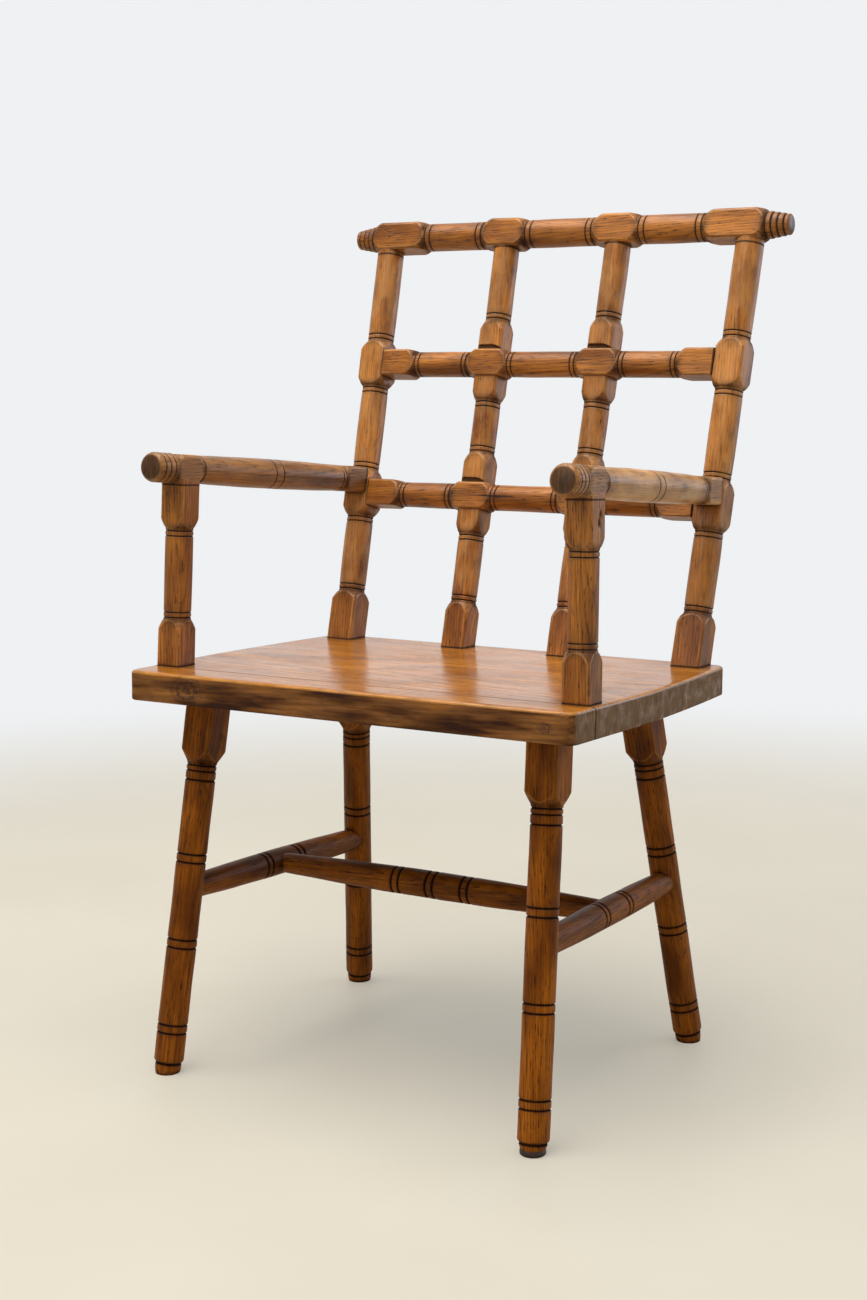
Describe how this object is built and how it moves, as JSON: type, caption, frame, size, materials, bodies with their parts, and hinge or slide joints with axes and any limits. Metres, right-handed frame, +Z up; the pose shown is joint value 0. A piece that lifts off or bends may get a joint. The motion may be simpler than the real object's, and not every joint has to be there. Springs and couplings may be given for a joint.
{
  "type": "armchair",
  "caption": "Turned oak armchair with a plank seat, a raked lattice back of posts and rails, turned arms, and splayed legs tied by stretchers.",
  "frame": {"origin": "middle of the chair's outline seen from above, at floor level", "axes": "+Z up from the floor, +Y from the front of the chair to its back, +X to the right as seen from the front"},
  "size_m": [0.566, 0.5274, 0.9331],
  "materials": {
    "seat_oak": "planed oak plank, waxed and polished by use",
    "leg_oak": "turned oak, waxed, with dark open grain",
    "back_oak": "turned oak, waxed, darker in the grooves",
    "arm_oak": "turned oak, worn lighter by hands",
    "dowel_beech": "plain turned dowel, hidden in the joint",
    "pad_hardwood": "dark stained disc, dull"
  },
  "bodies": {
    "root": {"seat_front_board": "seat_oak", "seat_main_board": "seat_oak", "seat_dowels": "dowel_beech", "front_left_leg": "leg_oak", "front_right_leg": "leg_oak", "rear_left_leg": "leg_oak", "rear_right_leg": "leg_oak", "left_side_stretcher": "leg_oak", "right_side_stretcher": "leg_oak", "cross_stretcher": "leg_oak", "left_outer_post": "back_oak", "right_outer_post": "back_oak", "left_inner_post": "back_oak", "right_inner_post": "back_oak", "lower_rail": "back_oak", "middle_rail": "back_oak", "top_rail": "back_oak", "left_arm": "arm_oak", "right_arm": "arm_oak", "left_arm_post": "back_oak", "right_arm_post": "back_oak", "levelling_pad": "pad_hardwood"}
  },
  "joints": []
}
